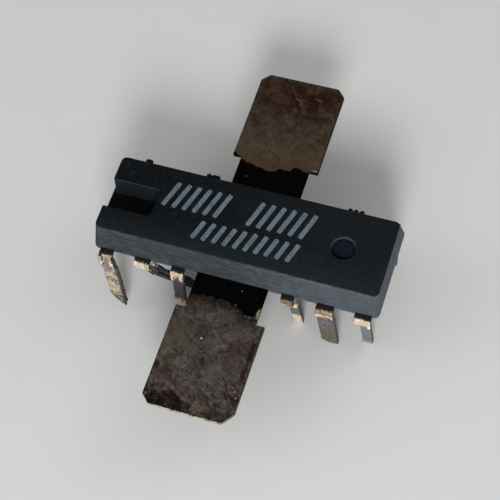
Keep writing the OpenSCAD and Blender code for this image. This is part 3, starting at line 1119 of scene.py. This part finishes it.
class CHIP_OT_stage(bpy.types.Operator):
    """Set up the pale floor, the soft light and the camera"""
    bl_idname = "chip.stage"
    bl_label = "Stage"

    # Each lamp: direction from the chip, distance and size in metres, and level on a white face
    LAMPS = (
        ("key_lamp", (0.25, -0.80, 0.545), 0.26, 0.09, 0.8),
        ("fill_lamp", (-0.75, -0.25, 0.6), 0.3, 0.2, 0.16),
        ("back_lamp", (0.55, 0.6, 0.58), 0.3, 0.2, 0.14),
    )
    SKY_LEVEL = 0.42
    # The sensor's width in millimetres, the floor's width and the farthest view in metres
    SENSOR = 36
    FLOOR = 2
    FAR = 10

    def execute(self, context):
        stage = context.scene.chip_stage
        self.floor(stage)
        self.sky(context.scene)
        for lamp in self.LAMPS:
            self.lamp(*lamp)
        self.camera(context.scene, stage)
        context.scene.view_settings.view_transform = "Standard"
        return {"FINISHED"}

    def floor(self, stage):
        floor = start_from(bpy.ops.mesh.primitive_plane_add, size=self.FLOOR)
        floor.name = "pale_floor"
        m = Finish("pale floor", metallic=0.0, specular=0.0)
        soft = m.noise(4, detail=2)
        lighter = tuple(min(1.0, c * 1.03) for c in stage.floor_colour)
        m.colour = m.mix(soft, stage.floor_colour, lighter)
        floor.data.materials.append(m.done(0.9))

    def sky(self, scene):
        world = bpy.data.worlds.new("soft sky")
        world.use_nodes = True
        scene.world = world
        background = world.node_tree.nodes["Background"]
        background.inputs["Color"].default_value = (1, 1, 1, 1)
        background.inputs["Strength"].default_value = self.SKY_LEVEL

    def lamp(self, name, direction, distance, size, level):
        light = bpy.data.lights.new(name, "AREA")
        light.shape = "DISK"
        light.size = size
        light.energy = level * math.pi ** 2 * distance ** 2
        holder = bpy.data.objects.new(name, light)
        bpy.context.scene.collection.objects.link(holder)
        way = Vector(direction).normalized()
        holder.location = way * distance + Vector((0, 0, MID_Z))
        holder.rotation_euler = way.to_track_quat("Z", "Y").to_euler()

    def camera(self, scene, stage):
        """A camera turned round its target to its azimuth and elevation, then rolled."""
        turn = (Matrix.Rotation(stage.azimuth, 4, "Z")
                @ Matrix.Rotation(math.pi / 2 - stage.elevation, 4, "X")
                @ Matrix.Rotation(stage.roll, 4, "Z"))
        lens = bpy.data.cameras.new("photo_camera")
        lens.lens = stage.lens
        lens.sensor_width = self.SENSOR
        lens.clip_start = MM
        lens.clip_end = self.FAR
        camera = bpy.data.objects.new("photo_camera", lens)
        scene.collection.objects.link(camera)
        camera.matrix_world = (Matrix.Translation(stage.target) @ turn
                               @ Matrix.Translation((0, 0, stage.distance)))
        scene.camera = camera


class CHIP_PT_panel(bpy.types.Panel):
    """Lists the pieces and their sizes"""
    bl_idname = "CHIP_PT_panel"
    bl_label = "Finned Chip"
    bl_space_type = "VIEW_3D"
    bl_region_type = "UI"
    bl_category = "Chip"

    def draw(self, context):
        scene = context.scene
        for group in SETTINGS:
            box = self.layout.box()
            settings = getattr(scene, group)
            for name in settings.bl_rna.properties.keys():
                if name not in ("rna_type", "name"):
                    box.prop(settings, name)
        for operator in OPERATORS:
            self.layout.operator(operator.bl_idname)


SETTINGS = {
    "chip_body": BodySettings,
    "chip_ink": InkSettings,
    "chip_fins": FinSettings,
    "chip_leads": LeadSettings,
    "chip_stage": StageSettings,
}
OPERATORS = (
    CHIP_OT_epoxy_shell,
    CHIP_OT_ink_marks,
    CHIP_OT_copper_fins,
    CHIP_OT_tinned_leads,
    CHIP_OT_sealed_pieces,
    CHIP_OT_stage,
)


def register():
    for group, settings in SETTINGS.items():
        bpy.utils.register_class(settings)
        setattr(bpy.types.Scene, group, bpy.props.PointerProperty(type=settings))
    for operator in OPERATORS:
        bpy.utils.register_class(operator)
    bpy.utils.register_class(CHIP_PT_panel)


def unregister():
    bpy.utils.unregister_class(CHIP_PT_panel)
    for operator in reversed(OPERATORS):
        bpy.utils.unregister_class(operator)
    for group, settings in SETTINGS.items():
        delattr(bpy.types.Scene, group)
        bpy.utils.unregister_class(settings)


def main():
    register()
    bpy.ops.chip.epoxy_shell()
    bpy.ops.chip.ink_marks()
    bpy.ops.chip.copper_fins()
    bpy.ops.chip.tinned_leads()
    bpy.ops.chip.sealed_pieces()
    bpy.ops.chip.stage()


if __name__ == "__main__":
    main()
